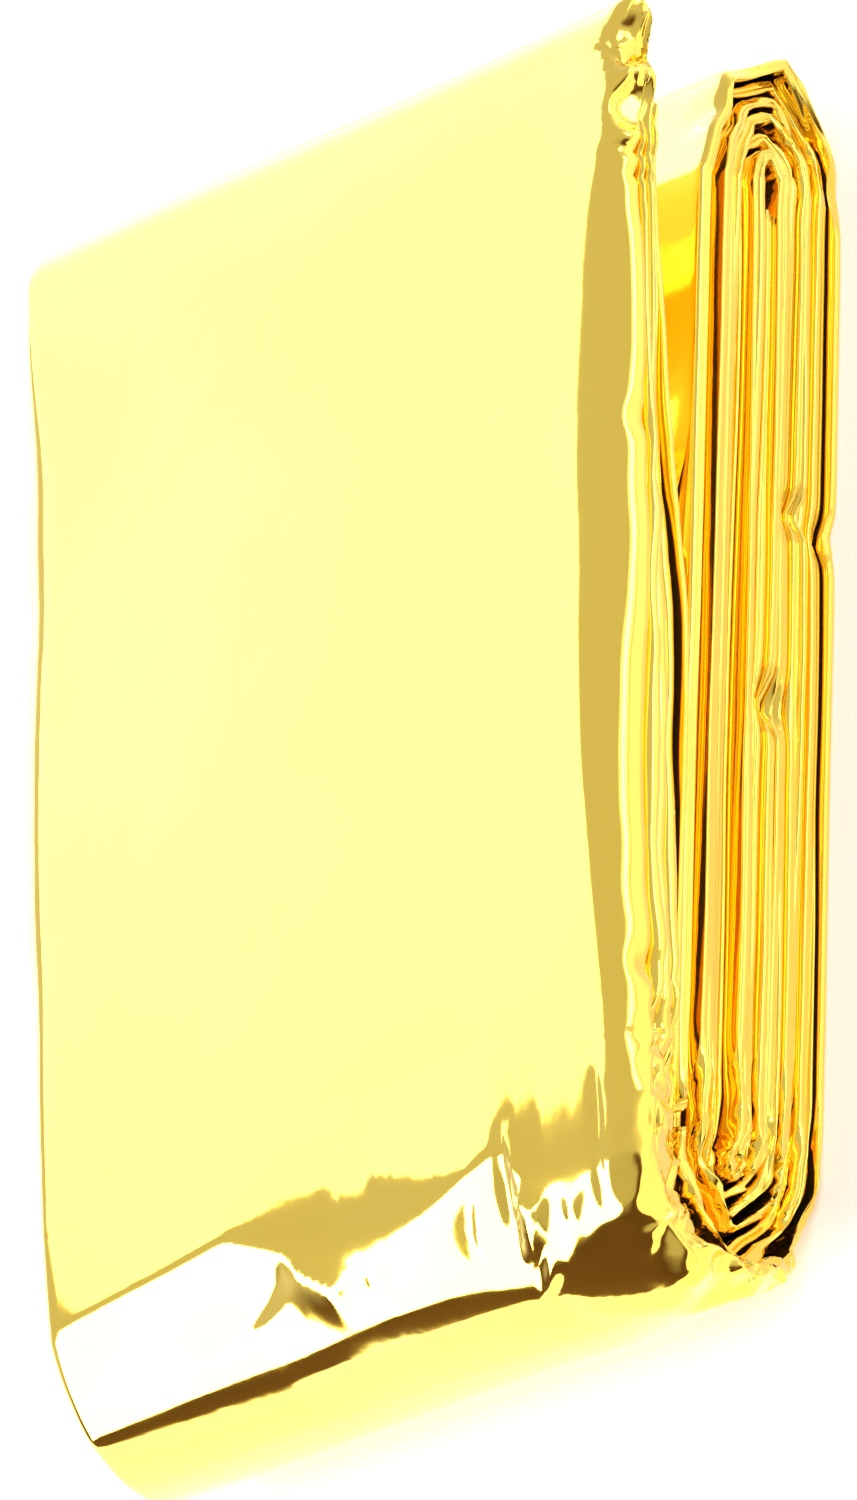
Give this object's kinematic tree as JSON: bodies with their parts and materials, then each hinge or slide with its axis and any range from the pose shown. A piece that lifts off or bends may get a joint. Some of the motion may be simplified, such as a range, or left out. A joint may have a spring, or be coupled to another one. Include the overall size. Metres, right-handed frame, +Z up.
{
  "type": "emergency foil blanket, folded and rolled flat",
  "caption": "Thin metallised film blanket folded to a narrow strip and rolled flat into a pocket packet, its last turn standing off as a front leaf.",
  "frame": {"origin": "centre of the packet's footprint, on the surface that its rear face lies on", "axes": "+X along the folded strip's width, to the end whose layers show in the usual view; +Y along the rolled length, from the big main fold to the open edge; +Z up, from the rear face to the front leaf"},
  "size_m": [0.0826, 0.127, 0.0311],
  "materials": {
    "gold_film": "mirror-bright metallised polyester film with a gold lacquer, finely creased"
  },
  "bodies": {
    "root": {"blanket": "gold_film"}
  },
  "joints": []
}
